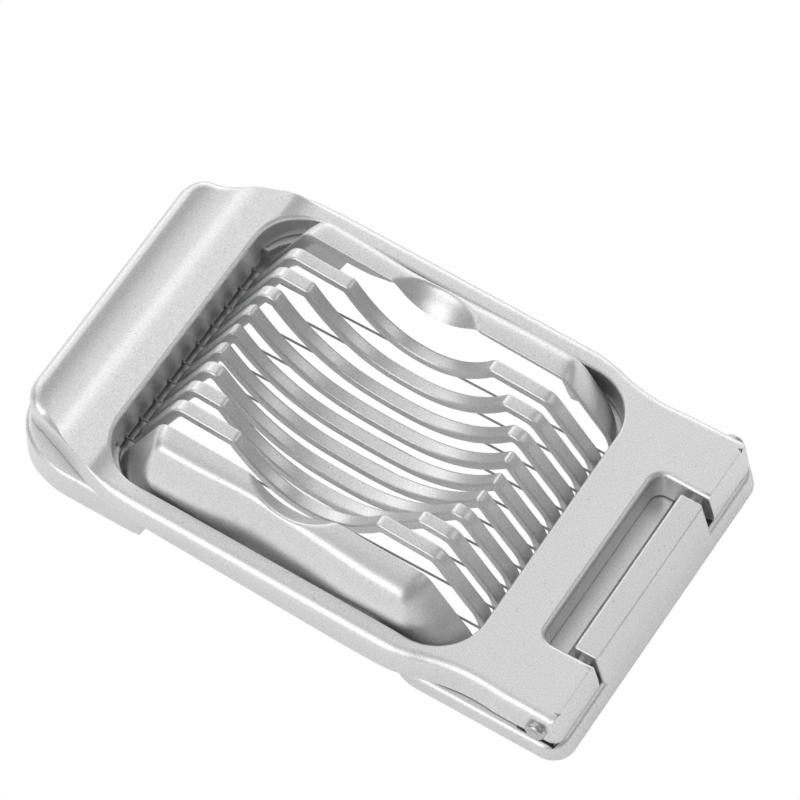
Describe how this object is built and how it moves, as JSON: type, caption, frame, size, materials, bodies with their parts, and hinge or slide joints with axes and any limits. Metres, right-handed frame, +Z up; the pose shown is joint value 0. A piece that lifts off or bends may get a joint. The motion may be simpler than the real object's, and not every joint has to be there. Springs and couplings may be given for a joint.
{
  "type": "egg slicer",
  "caption": "Cast aluminium egg slicer: slatted base with an oval egg hollow and a hinged frame of parallel cutting wires with a scooped handle.",
  "frame": {"origin": "middle of the base's footprint, on the surface it stands on", "axes": "+Z up, +X towards the hinge, -X towards the handle, Y across the wires"},
  "size_m": [0.1336, 0.082, 0.0254],
  "materials": {
    "cast_aluminium": "satin lacquered casting with a fine cast grain",
    "cast_aluminium_frame": "satin lacquered casting with a fine cast grain",
    "polished_steel": "polished, riveted ends",
    "ferrule_steel": "crimped, dull",
    "wire_steel": "drawn stainless wire"
  },
  "bodies": {
    "base": {"base_casting": "cast_aluminium", "hinge_pin": "polished_steel"},
    "frame": {"cutting_frame": "cast_aluminium_frame", "handle_ferrules": "ferrule_steel", "hinge_ferrules": "ferrule_steel", "wire_01": "wire_steel", "wire_02": "wire_steel", "wire_03": "wire_steel", "wire_04": "wire_steel", "wire_05": "wire_steel", "wire_06": "wire_steel", "wire_07": "wire_steel", "wire_08": "wire_steel", "wire_09": "wire_steel", "wire_10": "wire_steel"}
  },
  "joints": [
    {"name": "frame_hinge", "type": "hinge", "parent": "base", "child": "frame", "pos_m": [0.06, 0, 0.0082], "axis": [0, 1, 0], "range_deg": [0, 100]}
  ]
}
